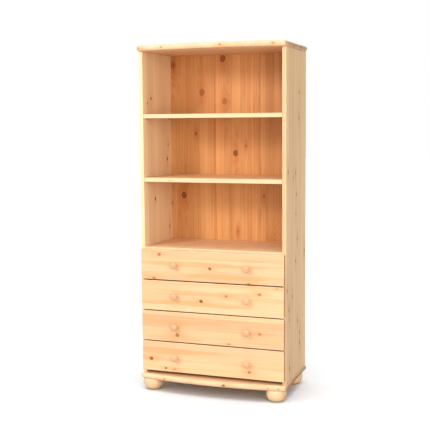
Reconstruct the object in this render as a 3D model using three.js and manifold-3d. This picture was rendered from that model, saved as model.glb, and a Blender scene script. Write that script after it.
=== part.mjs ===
// A tall pine bookcase: three open compartments with two adjustable shelves, over four drawers,
// standing on turned bun feet. Millimetres, +Z up, front towards -Y, left is -X.
// The origin is on the floor, under the middle of the bookcase.

import * as THREE from 'three';
import { mergeVertices } from 'three/addons/utils/BufferGeometryUtils.js';
import Module from 'manifold-3d';

const wasm = await Module();
wasm.setup();

// ---- Driving dimensions ----
const CARCASS_WIDTH = 800;
const CARCASS_DEPTH = 398;
const SIDE_HEIGHT = 1713;
const BOARD = 21; // thickness of the sides and shelves
const SLAB = 29; // thickness of the top and base boards
const SLAB_OVERHANG = 5; // of the top and base past each side
const BOW_MIDDLE = 64; // how far the top and base stand out in front, at the middle
const BOW_END = 31; // and at the ends
const SLAB_CORNER_RADIUS = 22;

const FOOT_HEIGHT = 62;
const FOOT_RADIUS = 53;
const FOOT_X = 345;
const FOOT_FRONT_Y = 12; // behind the carcass's front edges
const FOOT_BACK_INSET = 60; // from the carcass's back
const STUD = { radius: 4, depth: 16 }; // threaded stud between each foot and the base

const BACK_THICKNESS = 8;
const REBATE = 10; // width of the back panel's rebate in each side

const SHELF_TOPS = { upper: 1386.5, lower: 1052.5, fixed: 684 }; // above the base board
const SHELF_CLEARANCE = 1; // at each end of an adjustable shelf
const PIN = { radius: 2.5, plug: 9, head: 4, reach: 9, pitch: 32, steps: 2, inset: 45 };

const DRAWERS = 4;
const FRONT_HEIGHT = 159.5;
const FRONT_GAP = 6;
const FRONT_THICKNESS = 20;
const FRONT_INSET = 6; // of a drawer front from the sides' outer faces
const FRONT_STANDOFF = 1; // between a drawer front and the carcass
const LOWEST_FRONT = 18.5; // above the base board
const BOX = { width: 755, length: 355, height: 118, rise: 16, wall: 14, back: 12 };
const BOTTOM = { thickness: 4, rise: 10, groove: 6, play: 0.3 };
const RUNNER = { height: 15, thickness: 8, length: 335, play: 1, setback: 10, rise: 52 };

const KNOB_X = 200;
const KNOB_REACH = 33;
const KNOB_RADIUS = 17.5;

const TOUCH = 0.3; // gap kept where a turned piece rests on its neighbour

// ---- Places worked out from them ----
const FRONT = -(CARCASS_DEPTH + BOW_MIDDLE) / 2 + BOW_MIDDLE; // y of the carcass's front edges
const BACK = FRONT + CARCASS_DEPTH;
const FLOOR_OF_CARCASS = FOOT_HEIGHT + SLAB; // z of the base board's top face
const INNER = CARCASS_WIDTH / 2 - BOARD; // x of the sides' inner faces
const INNER_BACK = BACK - BACK_THICKNESS;
const LEFT_RIGHT = { left: -1, right: 1 };

// ---- Materials ----
const wood = (color, roughness = 0.5) => new THREE.MeshStandardMaterial({ color, roughness, metalness: 0 });
const MATERIALS = {
  pine: wood(0xe6bf8c),
  inner: wood(0xcf9558),
  front: wood(0xecc794),
  turned: wood(0xdcb27c, 0.45),
  plywood: wood(0xd9b684, 0.6),
  beech: wood(0xd2a878, 0.55),
  steel: new THREE.MeshStandardMaterial({ color: 0xb9bcc0, roughness: 0.35, metalness: 1 }),
};

const bookcase = new THREE.Group();

function add(name, geometry, material, x, y, z, parent = bookcase) {
  const mesh = new THREE.Mesh(geometry, MATERIALS[material]);
  mesh.name = name;
  mesh.position.set(x, y, z);
  parent.add(mesh);
  return mesh;
}

// ---- Joining and cutting ----
function toSolid(geometry) {
  const bare = geometry.clone();
  bare.deleteAttribute('normal');
  bare.deleteAttribute('uv');
  const merged = mergeVertices(bare, 1e-4);
  const vertProperties = new Float32Array(merged.attributes.position.array);
  const triVerts = new Uint32Array(merged.index.array);
  return new wasm.Manifold(new wasm.Mesh({ numProp: 3, vertProperties, triVerts }));
}

function toGeometry(solid) {
  const mesh = solid.getMesh();
  const geometry = new THREE.BufferGeometry();
  geometry.setAttribute('position', new THREE.BufferAttribute(mesh.vertProperties, 3));
  geometry.setIndex(new THREE.BufferAttribute(mesh.triVerts, 1));
  geometry.computeVertexNormals();
  return geometry;
}

function cut(geometry, cutters) {
  let solid = toSolid(geometry);
  for (const cutter of cutters) solid = solid.subtract(toSolid(cutter));
  return toGeometry(solid);
}

// ---- Plain shapes ----
// A box given by its low and high corners.
function block(low, high) {
  const size = high.map((value, i) => value - low[i]);
  const centre = high.map((value, i) => (value + low[i]) / 2);
  return new THREE.BoxGeometry(...size).translate(...centre);
}

// An eight-sided rod about the x or z axis, used for studs and as the cutter of a drilled hole.
function rod(radius, length, axis) {
  const geometry = new THREE.CylinderGeometry(radius, radius, length, 8);
  return axis === 'x' ? geometry.rotateZ(Math.PI / 2) : geometry.rotateX(Math.PI / 2);
}

// A turned piece: the profile runs from the axis out and back to it, and the axis becomes +Z.
function turned(profile, segments) {
  return new THREE.LatheGeometry(profile, segments).rotateX(Math.PI / 2);
}

// A board whose section lies in the x-z plane, running back from the front by its length.
function runBack(points, length) {
  const outline = new THREE.Shape(points.map(([x, z]) => new THREE.Vector2(x, z)));
  return new THREE.ExtrudeGeometry(outline, { depth: length, bevelEnabled: false })
    .rotateX(Math.PI / 2)
    .translate(0, length, 0);
}

// ---- Top and base boards: bowed in front, with a rounded edge, flat at the back ----
function slabOutline(halfWidth, back) {
  const run = halfWidth - SLAB_CORNER_RADIUS;
  const rise = BOW_MIDDLE - BOW_END;
  const bowRadius = (run ** 2 + rise ** 2) / (2 * rise);
  const bowCentre = FRONT - BOW_MIDDLE + bowRadius;
  const cornerY = bowCentre - Math.sqrt((bowRadius - SLAB_CORNER_RADIUS) ** 2 - run ** 2);
  const leftTangent = 2 * Math.PI + Math.atan2(cornerY - bowCentre, -run);
  const rightTangent = 2 * Math.PI + Math.atan2(cornerY - bowCentre, run);
  const outline = new THREE.Shape();
  outline.moveTo(halfWidth, back);
  outline.lineTo(-halfWidth, back);
  outline.absarc(-run, cornerY, SLAB_CORNER_RADIUS, Math.PI, leftTangent);
  outline.absarc(0, bowCentre, bowRadius, leftTangent, rightTangent);
  outline.absarc(run, cornerY, SLAB_CORNER_RADIUS, rightTangent, 2 * Math.PI);
  return outline;
}

function slab(extraCutters = []) {
  const round = SLAB / 2 - 0.5;
  const roundedBack = BACK + SLAB;
  const geometry = new THREE.ExtrudeGeometry(slabOutline(CARCASS_WIDTH / 2 + SLAB_OVERHANG, roundedBack), {
    depth: SLAB - 2 * round,
    bevelThickness: round,
    bevelSize: round,
    bevelOffset: -round,
    bevelSegments: 4,
    curveSegments: 6,
  }).translate(0, 0, round);
  const behind = block([-CARCASS_WIDTH, BACK, -SLAB], [CARCASS_WIDTH, BACK + 3 * SLAB, 2 * SLAB]);
  return cut(geometry, [behind, ...extraCutters]);
}

const FOOT_PLACES = [];
for (const [end, y] of [['front', FRONT + FOOT_FRONT_Y], ['back', BACK - FOOT_BACK_INSET]]) {
  for (const [side, sign] of Object.entries(LEFT_RIGHT)) {
    FOOT_PLACES.push({ name: `${end}_${side}`, x: sign * FOOT_X, y });
  }
}

function studHole(x, y, z) {
  return rod(STUD.radius + TOUCH, 2 * STUD.depth, 'z').translate(x, y, z);
}

const studHoles = FOOT_PLACES.map(({ x, y }) => studHole(x, y, 0));
add('base_panel', slab(studHoles), 'pine', 0, 0, FOOT_HEIGHT);
add('top_panel', slab(), 'pine', 0, 0, FLOOR_OF_CARCASS + SIDE_HEIGHT);

// ---- Bun feet and their studs ----
function footGeometry() {
  const restRadius = 18; // the flat that stands on the floor
  const belly = 42; // height of the widest place
  const topAngle = Math.asin((FOOT_HEIGHT - belly) / belly);
  const swell = FOOT_RADIUS - restRadius;
  const bun = new THREE.EllipseCurve(restRadius, belly, swell, belly, -Math.PI / 2, topAngle);
  const profile = [
    new THREE.Vector2(0, 0),
    ...bun.getPoints(10),
    new THREE.Vector2(0, FOOT_HEIGHT),
  ];
  return cut(turned(profile, 24), [studHole(0, 0, FOOT_HEIGHT)]);
}

for (const { name, x, y } of FOOT_PLACES) {
  add(`foot_${name}`, footGeometry(), 'turned', x, y, 0);
  const stud = rod(STUD.radius, 2 * (STUD.depth - 1), 'z');
  add(`foot_stud_${name}`, stud, 'steel', x, y, FOOT_HEIGHT);
}

// ---- Sides, each with a rebate for the back and two columns of pin holes at each shelf ----
const pinY = [['front', FRONT + PIN.inset], ['back', INNER_BACK - PIN.inset]];

function pinHeight(shelf) {
  return SHELF_TOPS[shelf] - BOARD - PIN.head - TOUCH;
}

function sideGeometry(sign) {
  const inner = sign * INNER;
  const rebateEdge = sign * (INNER + REBATE);
  const cutters = [block(
    [Math.min(inner - sign * BOARD, rebateEdge), INNER_BACK, -BOARD],
    [Math.max(inner - sign * BOARD, rebateEdge), BACK + BOARD, SIDE_HEIGHT + BOARD],
  )];
  for (const shelf of ['upper', 'lower']) {
    for (const [, y] of pinY) {
      for (let step = -PIN.steps; step <= PIN.steps; step += 1) {
        const hole = rod(PIN.radius + 0.4, 2 * (PIN.plug + 1), 'x');
        cutters.push(hole.translate(inner, y, pinHeight(shelf) + step * PIN.pitch));
      }
    }
  }
  const outer = sign * (INNER + BOARD);
  const board = block([Math.min(inner, outer), FRONT, 0], [Math.max(inner, outer), BACK, SIDE_HEIGHT]);
  return cut(board, cutters);
}

for (const [side, sign] of Object.entries(LEFT_RIGHT)) {
  add(`side_panel_${side}`, sideGeometry(sign), 'pine', 0, 0, FLOOR_OF_CARCASS);
}

// ---- Back panel, held in the rebates ----
const backHalf = INNER + REBATE - TOUCH;
const backBoard = block([-backHalf, INNER_BACK + TOUCH, 0], [backHalf, BACK, SIDE_HEIGHT]);
add('back_panel', backBoard, 'inner', 0, 0, FLOOR_OF_CARCASS);

// ---- Shelves and shelf pins ----
function shelf(name, clearance, setback) {
  const half = INNER - clearance;
  const board = block([-half, FRONT + setback, -BOARD], [half, INNER_BACK, 0]);
  add(name, board, 'pine', 0, 0, FLOOR_OF_CARCASS + SHELF_TOPS[name.replace('shelf_', '')]);
}
shelf('shelf_fixed', 0, 0);
shelf('shelf_lower', SHELF_CLEARANCE, 1);
shelf('shelf_upper', SHELF_CLEARANCE, 1);

// A pin's plug sits in the side and its thicker head carries the shelf.
function pinGeometry() {
  const profile = [
    [0, 0], [PIN.radius, 0], [PIN.radius, PIN.plug - 0.2],
    [PIN.head, PIN.plug], [PIN.head, PIN.plug + PIN.reach], [0, PIN.plug + PIN.reach],
  ].map(([r, z]) => new THREE.Vector2(r, z));
  return turned(profile, 10).rotateY(Math.PI / 2).translate(TOUCH - PIN.plug + 0.2, 0, 0);
}

for (const level of ['upper', 'lower']) {
  for (const [side, sign] of Object.entries(LEFT_RIGHT)) {
    for (const [end, y] of pinY) {
      const z = FLOOR_OF_CARCASS + pinHeight(level);
      const pin = add(`shelf_pin_${level}_${end}_${side}`, pinGeometry(), 'steel', sign * INNER, y, z);
      if (sign > 0) pin.rotation.z = Math.PI;
    }
  }
}

// ---- Drawers: each an open box behind a front with eased edges and two turned knobs ----
function frontGeometry() {
  const ease = 4;
  const halfWidth = CARCASS_WIDTH / 2 - FRONT_INSET;
  const outline = new THREE.Shape();
  outline.moveTo(-halfWidth, 0);
  outline.lineTo(halfWidth, 0);
  outline.lineTo(halfWidth, FRONT_HEIGHT);
  outline.lineTo(-halfWidth, FRONT_HEIGHT);
  const panel = new THREE.ExtrudeGeometry(outline, {
    depth: FRONT_THICKNESS - 2 * ease,
    bevelThickness: ease,
    bevelSize: ease,
    bevelOffset: -ease,
    bevelSegments: 3,
  }).rotateX(Math.PI / 2).translate(0, -ease, 0);
  const grooveHalf = BOX.width / 2 - BOX.wall + BOTTOM.groove;
  const grooveLow = BOX.rise + BOTTOM.rise - BOTTOM.play;
  const groove = block(
    [-grooveHalf, -BOTTOM.groove, grooveLow],
    [grooveHalf, BOTTOM.groove, grooveLow + BOTTOM.thickness + 2 * BOTTOM.play],
  );
  return cut(panel, [groove]);
}

// Section of a drawer side for the right-hand wall: a groove outside for the runner, one inside for
// the bottom. x runs outwards from the wall's inner face.
function drawerSideGeometry(sign) {
  const runnerLow = RUNNER.rise - RUNNER.play;
  const runnerHigh = RUNNER.rise + RUNNER.height + TOUCH;
  const bottomLow = BOTTOM.rise - BOTTOM.play;
  const bottomHigh = BOTTOM.rise + BOTTOM.thickness + BOTTOM.play;
  const section = [
    [0, 0], [BOX.wall, 0],
    [BOX.wall, runnerLow], [BOX.wall - RUNNER.thickness, runnerLow],
    [BOX.wall - RUNNER.thickness, runnerHigh], [BOX.wall, runnerHigh],
    [BOX.wall, BOX.height], [0, BOX.height],
    [0, bottomHigh], [BOTTOM.groove, bottomHigh], [BOTTOM.groove, bottomLow], [0, bottomLow],
  ].map(([x, z]) => [sign * x, z]);
  return runBack(section, BOX.length);
}

// Knob: a waisted stem that opens into a domed cap, turned about the axis pointing to the front.
function knobGeometry() {
  const stem = 8;
  const foot = 11;
  const capDepth = 15;
  const brim = 0.4 * capDepth;
  const neck = KNOB_REACH - capDepth;
  const waist = new THREE.QuadraticBezierCurve(
    new THREE.Vector2(foot, 0),
    new THREE.Vector2(stem - 1, 3),
    new THREE.Vector2(stem, neck),
  );
  const underside = new THREE.EllipseCurve(
    stem, neck + brim, KNOB_RADIUS - stem, brim, -Math.PI / 2, 0,
  );
  const dome = new THREE.EllipseCurve(0, neck + brim, KNOB_RADIUS, capDepth - brim, 0, Math.PI / 2);
  const profile = [
    new THREE.Vector2(0, 0),
    ...waist.getPoints(3).slice(0, -1),
    ...underside.getPoints(3).slice(0, -1),
    ...dome.getPoints(5).slice(0, -1),
    new THREE.Vector2(0, KNOB_REACH),
  ];
  return turned(profile, 16).rotateX(Math.PI / 2);
}

function addDrawer(number) {
  const drawer = new THREE.Group();
  const z = FLOOR_OF_CARCASS + LOWEST_FRONT + (DRAWERS - number) * (FRONT_HEIGHT + FRONT_GAP);
  drawer.position.set(0, FRONT - FRONT_STANDOFF, z);
  bookcase.add(drawer);
  const name = (piece) => `drawer_${number}_${piece}`;
  const inside = BOX.width / 2 - BOX.wall;

  add(name('front'), frontGeometry(), 'front', 0, 0, 0, drawer);
  const bottomTop = BOTTOM.rise + BOTTOM.thickness;
  const back = block([-inside, 0, bottomTop], [inside, BOX.back, BOX.height]);
  add(name('back'), back, 'pine', 0, BOX.length - BOX.back, BOX.rise, drawer);
  const bottomHalf = inside + BOTTOM.groove - BOTTOM.play;
  const bottom = block(
    [-bottomHalf, -BOTTOM.groove + BOTTOM.play, BOTTOM.rise],
    [bottomHalf, BOX.length, bottomTop],
  );
  add(name('bottom'), bottom, 'plywood', 0, 0, BOX.rise, drawer);

  for (const [side, sign] of Object.entries(LEFT_RIGHT)) {
    add(name(`side_${side}`), drawerSideGeometry(sign), 'pine', sign * inside, 0, BOX.rise, drawer);
    const knobY = -FRONT_THICKNESS - TOUCH;
    add(name(`knob_${side}`), knobGeometry(), 'turned', sign * KNOB_X, knobY, FRONT_HEIGHT / 2, drawer);
    const runner = block([-RUNNER.thickness / 2, 0, 0], [RUNNER.thickness / 2, RUNNER.length, RUNNER.height]);
    const runnerX = sign * (INNER - RUNNER.thickness / 2);
    const runnerZ = z + BOX.rise + RUNNER.rise;
    add(`runner_${number}_${side}`, runner, 'beech', runnerX, FRONT + RUNNER.setback, runnerZ);
  }
}
for (let number = 1; number <= DRAWERS; number += 1) addDrawer(number);

export default bookcase;
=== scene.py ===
"""Pine bookcase: builds the finished surfaces of a tall bookcase with drawers round its fixed frame."""

import math
import random

import bmesh
import bpy
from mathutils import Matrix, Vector


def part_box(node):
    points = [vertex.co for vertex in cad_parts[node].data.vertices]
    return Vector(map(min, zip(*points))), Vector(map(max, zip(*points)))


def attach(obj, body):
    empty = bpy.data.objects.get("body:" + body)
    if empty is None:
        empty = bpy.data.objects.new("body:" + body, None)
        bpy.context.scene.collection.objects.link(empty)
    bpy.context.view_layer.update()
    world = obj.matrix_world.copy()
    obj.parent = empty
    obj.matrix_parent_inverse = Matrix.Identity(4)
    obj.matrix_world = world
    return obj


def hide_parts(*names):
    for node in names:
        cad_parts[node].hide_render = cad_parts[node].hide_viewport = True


bl_info = {
    "name": "Pine Bookcase",
    "version": (1, 0, 0),
    "blender": (4, 5, 0),
    "location": "View3D > Sidebar > Bookcase",
    "description": "Boards, drawers, turned feet and knobs of a pine bookcase, with their wood",
    "category": "Object",
}

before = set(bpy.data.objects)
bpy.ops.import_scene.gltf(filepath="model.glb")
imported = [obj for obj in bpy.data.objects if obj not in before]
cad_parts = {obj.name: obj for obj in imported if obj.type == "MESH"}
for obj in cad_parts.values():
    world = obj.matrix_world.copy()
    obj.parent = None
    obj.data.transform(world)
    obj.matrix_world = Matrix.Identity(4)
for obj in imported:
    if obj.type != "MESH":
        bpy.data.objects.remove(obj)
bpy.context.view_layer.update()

SIDES = ("left", "right")
ENDS = ("front", "back")
DRAWERS = (1, 2, 3, 4)
SHELVES = ("upper", "lower")
RUNNER_CLEARANCE = 0.0006


# ---------------------------------------------------------------------------
# Sizes and colours that a user would change
# ---------------------------------------------------------------------------


def length(name, description, default):
    """A length property in metres."""
    return bpy.props.FloatProperty(
        name=name, description=description, default=default, min=0.0, subtype="DISTANCE", unit="LENGTH"
    )


def share(name, description, default):
    """A property from 0 to 1."""
    return bpy.props.FloatProperty(
        name=name, description=description, default=default, min=0.0, max=1.0, subtype="FACTOR"
    )


def colour(name, description, default):
    """A colour property."""
    return bpy.props.FloatVectorProperty(
        name=name, description=description, default=default, size=3, min=0.0, max=1.0, subtype="COLOR"
    )


class BookcaseShape(bpy.types.PropertyGroup):
    """Rounding of the boards and the shapes of the turned pieces"""

    board_ease: length("Board easing", "Radius sanded on the edges of sides and shelves", 0.0018)
    front_ease: length("Drawer front easing", "Radius on the edges of the drawer fronts", 0.003)
    bow_middle: length("Bow at the middle", "How far the top and base stand out at the middle", 0.064)
    bow_end: length("Bow at the ends", "How far the top and base stand out at their ends", 0.031)
    slab_corner: length("Slab corner", "Radius of the top and base's front corners", 0.022)
    foot_flat: length("Foot flat", "Radius of the flat that stands on the floor", 0.018)
    foot_belly: length("Foot belly", "Height of the foot's widest place", 0.042)
    knob_stem: length("Knob stem", "Radius of the knob's stem", 0.008)
    knob_foot: length("Knob foot", "Radius where the knob meets the drawer", 0.011)
    knob_cap: length("Knob cap", "Depth of the knob's cap", 0.015)
    pin_hole: length("Pin hole", "Radius of the shelf pin holes", 0.0027)
    pin_pitch: length("Pin pitch", "Step between shelf pin holes", 0.032)


class BookcaseWood(bpy.types.PropertyGroup):
    """Colours of the pine and of the fittings"""

    early: colour("Early wood", "The pale wood between the grain lines", (0.775, 0.475, 0.265))
    late: colour("Late wood", "The darker grain lines", (0.66, 0.30, 0.115))
    shelf_early: colour("Shelf early wood", "Pale wood of the shelves, top and base", (0.77, 0.49, 0.285))
    shelf_late: colour("Shelf late wood", "Grain lines of the shelves, top and base", (0.70, 0.37, 0.17))
    turned_early: colour("Turned early wood", "Pale wood of the feet", (0.77, 0.53, 0.31))
    turned_late: colour("Turned late wood", "Grain lines of the feet", (0.70, 0.40, 0.19))
    knob_early: colour("Knob early wood", "Pale wood of the knobs", (0.68, 0.42, 0.24))
    knob_late: colour("Knob late wood", "Grain lines of the knobs", (0.54, 0.29, 0.13))
    # Painted light and shade: the left side's colours are lighter for the light on its inner face, the right
    # side's darker for the shade on its outer face.
    left_early_painted_light: colour("Left side early wood", "Pale wood of the left side", (0.79, 0.56, 0.325))
    left_late_painted_light: colour("Left side late wood", "Grain lines of the left side", (0.66, 0.37, 0.165))
    right_early_painted_shade: colour("Right side early wood", "Pale wood of the right side", (0.66, 0.44, 0.235))
    right_late_painted_shade: colour("Right side late wood", "Grain lines of the right side", (0.48, 0.26, 0.11))
    back_early: colour("Back early wood", "Pale wood of the back panel", (0.70, 0.345, 0.122))
    back_late: colour("Back late wood", "Grain lines of the back panel", (0.47, 0.14, 0.03))
    knot: colour("Knot", "The heart of a knot", (0.36, 0.105, 0.018))
    rim: colour("Knot rim", "The dark ring round a knot", (0.10, 0.024, 0.004))
    resin: colour("Resin", "Resin streaks and glue lines", (0.42, 0.17, 0.045))
    steel: colour("Zinc", "Zinc-plated shelf pins and studs", (0.62, 0.63, 0.65))


class BookcaseStage(bpy.types.PropertyGroup):
    """Camera, floor and lights"""

    camera_place: bpy.props.FloatVectorProperty(
        name="Camera place",
        description="Where the camera stands",
        default=(1.5654, -4.4152, 1.4304),
        subtype="TRANSLATION",
        unit="LENGTH",
    )
    camera_turn: bpy.props.FloatVectorProperty(
        name="Camera turn",
        description="Down tilt from level, roll and turn of the camera",
        default=(math.radians(84.016), math.radians(0.44), math.radians(19.946)),
        subtype="EULER",
        unit="ROTATION",
    )
    camera_lens: bpy.props.FloatProperty(
        name="Lens", description="Focal length on a 36 mm sensor", default=73.65, unit="CAMERA"
    )
    sky_front: bpy.props.FloatProperty(
        name="Sky in front", description="How bright the surroundings are in front", default=1.12
    )
    sky_behind: share("Sky behind", "How bright the surroundings are behind the bookcase", 0.4)
    overhead: bpy.props.FloatProperty(
        name="Overhead light", description="Strength of the light from straight above", default=1.8
    )
    key_power: bpy.props.FloatProperty(
        name="Key light", description="Power of the main soft light", default=122.0, unit="POWER"
    )
    fill_power: bpy.props.FloatProperty(
        name="Fill light", description="Power of the wide light on the right", default=100.0, unit="POWER"
    )


# ---------------------------------------------------------------------------
# Node trees
# ---------------------------------------------------------------------------


class Wiring:
    """Adds nodes to one tree. Any value may be a number, a vector or another node's output."""

    def __init__(self, tree):
        self.tree = tree

    def feed(self, socket, value):
        if isinstance(value, bpy.types.NodeSocket):
            self.tree.links.new(value, socket)
        else:
            socket.default_value = value

    def node(self, kind, inputs=None, **settings):
        made = self.tree.nodes.new(kind)
        for name, value in settings.items():
            setattr(made, name, value)
        for key, value in (inputs or {}).items():
            self.feed(made.inputs[key], value)
        return made

    def math(self, operation, *values, clamp=False):
        made = self.node("ShaderNodeMath", dict(enumerate(values)), operation=operation, use_clamp=clamp)
        return made.outputs[0]

    def vector(self, operation, *values, scale=None):
        made = self.node("ShaderNodeVectorMath", dict(enumerate(values)), operation=operation)
        if scale is not None:
            self.feed(made.inputs["Scale"], scale)
        return made.outputs["Value" if operation in ("LENGTH", "DOT_PRODUCT", "DISTANCE") else "Vector"]

    def ramp(self, value, start, end, low=0.0, high=1.0):
        """Rises smoothly from low to high as value goes from start to end."""
        made = self.node(
            "ShaderNodeMapRange",
            {"Value": value, "From Min": start, "From Max": end, "To Min": low, "To Max": high},
            interpolation_type="SMOOTHSTEP",
        )
        return made.outputs["Result"]

    def noise(self, vector, scale=1.0, detail=2.0, roughness=0.5):
        made = self.node(
            "ShaderNodeTexNoise",
            {"Vector": vector, "Scale": scale, "Detail": detail, "Roughness": roughness},
        )
        return made

    def blend(self, factor, first, second, mode="MIX"):
        made = self.node("ShaderNodeMix", {0: factor, 6: first, 7: second}, data_type="RGBA", blend_type=mode)
        return made.outputs[2]

    def join(self, x, y, z):
        return self.node("ShaderNodeCombineXYZ", {"X": x, "Y": y, "Z": z}).outputs["Vector"]

    def split(self, vector):
        made = self.node("ShaderNodeSeparateXYZ", {"Vector": vector})
        return made.outputs["X"], made.outputs["Y"], made.outputs["Z"]

    def stretched(self, parts, paces):
        """A place whose three parts run at their own paces."""
        return self.join(*(self.math("MULTIPLY", part, pace) for part, pace in zip(parts, paces)))


SOCKETS = {
    "float": "NodeSocketFloat",
    "vector": "NodeSocketVector",
    "colour": "NodeSocketColor",
    "int": "NodeSocketInt",
    "geometry": "NodeSocketGeometry",
    "object": "NodeSocketObject",
    "material": "NodeSocketMaterial",
}


def new_tree(name, kind, inputs, outputs):
    """A node group with named sockets; returns its wiring, its input node and its output node."""
    tree = bpy.data.node_groups.new(name, kind)
    for direction, sockets in (("INPUT", inputs), ("OUTPUT", outputs)):
        for label, (sort, default) in sockets.items():
            made = tree.interface.new_socket(label, in_out=direction, socket_type=SOCKETS[sort])
            if default is not None:
                made.default_value = default
    wiring = Wiring(tree)
    return wiring, wiring.node("NodeGroupInput").outputs, wiring.node("NodeGroupOutput").inputs


def rgba(values):
    return (*values, 1.0)


# ---------------------------------------------------------------------------
# Wood: shared shader groups
# ---------------------------------------------------------------------------


def knot_group():
    """One knot. Groups are chained, each adding its knot to what came before."""
    w, given, result = new_tree(
        "Knot",
        "ShaderNodeTree",
        {
            "Grain Place": ("vector", None),
            "Centre": ("vector", None),
            "Depth": ("float", 0.12),
            "Radius": ("float", 0.006),
            "Dark": ("float", 0.5),
            "Swell": ("float", 0.0),
            "Heart": ("float", 0.0),
            "Rim": ("float", 0.0),
            "Halo": ("float", 0.0),
        },
        {key: ("float", None) for key in ("Swell", "Heart", "Rim", "Halo")},
    )
    away = w.vector("SUBTRACT", given["Grain Place"], given["Centre"])
    near = w.vector("LENGTH", w.vector("MULTIPLY", away, w.join(0.8, 1.0, given["Depth"])))
    reach = w.math("DIVIDE", near, given["Radius"])
    heart = w.ramp(reach, 1.15, 0.65)
    rim = w.ramp(w.math("ABSOLUTE", w.math("SUBTRACT", reach, 1.0)), 0.34, 0.05)
    rim = w.math("MULTIPLY", rim, w.math("POWER", given["Dark"], 2.0))
    pith = w.math("MULTIPLY", w.ramp(reach, 0.4, 0.0), given["Dark"])
    decay = w.math("MULTIPLY", heart, w.math("POWER", given["Dark"], 4.0))
    rim = w.math("MAXIMUM", rim, w.math("MAXIMUM", pith, w.math("MULTIPLY", decay, 0.4)))
    far = w.vector("LENGTH", w.vector("MULTIPLY", away, w.join(0.3, 1.0, given["Depth"])))
    spread = w.math("DIVIDE", far, w.math("MULTIPLY", given["Radius"], 2.2))
    fall = w.math("DIVIDE", 1.0, w.math("ADD", 1.0, w.math("POWER", spread, 3.0)))
    swell = w.math("MULTIPLY", fall, w.math("MULTIPLY", given["Radius"], 1.5))
    w.feed(result["Swell"], w.math("ADD", given["Swell"], swell))
    heart = w.math("MULTIPLY", heart, w.math("MULTIPLY_ADD", given["Dark"], 0.5, 0.5))
    w.feed(result["Heart"], w.math("MAXIMUM", given["Heart"], heart))
    w.feed(result["Rim"], w.math("MAXIMUM", given["Rim"], rim))
    w.feed(result["Halo"], w.math("MAXIMUM", given["Halo"], fall))
    return w.tree


def streak_group():
    """One long honey-coloured streak. Groups are chained, each adding its streak to what came before."""
    w, given, result = new_tree(
        "Honey streak",
        "ShaderNodeTree",
        {
            "Grain Place": ("vector", None),
            "Centre": ("vector", None),
            "Half Length": ("float", 0.2),
            "Half Height": ("float", 0.015),
            "Amount": ("float", 0.5),
            "Streak": ("float", 0.0),
        },
        {"Streak": ("float", None)},
    )
    away = w.vector("SUBTRACT", given["Grain Place"], given["Centre"])
    size = w.join(given["Half Length"], given["Half Height"], 0.1)
    reach = w.vector("LENGTH", w.vector("DIVIDE", away, size))
    streak = w.math("MULTIPLY", w.ramp(reach, 1.05, 0.7), given["Amount"])
    w.feed(result["Streak"], w.math("MAXIMUM", given["Streak"], streak))
    return w.tree


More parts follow.
